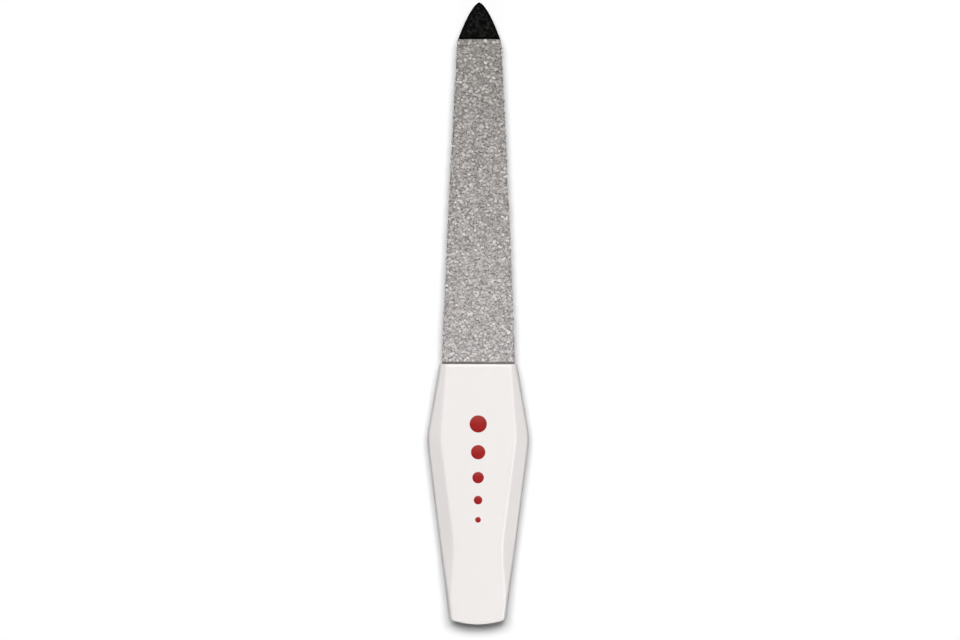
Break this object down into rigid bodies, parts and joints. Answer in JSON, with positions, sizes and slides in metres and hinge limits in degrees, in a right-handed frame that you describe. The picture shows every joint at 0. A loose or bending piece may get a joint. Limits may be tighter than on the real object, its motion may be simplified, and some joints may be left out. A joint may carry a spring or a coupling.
{
  "type": "nail file",
  "caption": "Flat tapered nail file with a grit-coated steel blade, a black coated point and a white coffin-shaped handle for filing and shaping nails.",
  "frame": {"origin": "bottom centre of the bounding box, on the plane that the handle's rear face lies on", "axes": "+Y along the file from the handle to the point, +Z out of the front face, +X to the right seen from the front with the point up"},
  "size_m": [0.0212, 0.13, 0.0049],
  "materials": {
    "hardened_steel": "satin",
    "coarse_sapphire_grit": "matte",
    "fine_sapphire_grit": "matte",
    "black_point_coating": "satin",
    "white_plastic": "satin"
  },
  "bodies": {
    "root": {"steel_blank": "hardened_steel", "front_grit_coat": "coarse_sapphire_grit", "rear_grit_coat": "fine_sapphire_grit", "point_coat": "black_point_coating", "handle": "white_plastic"}
  },
  "joints": []
}
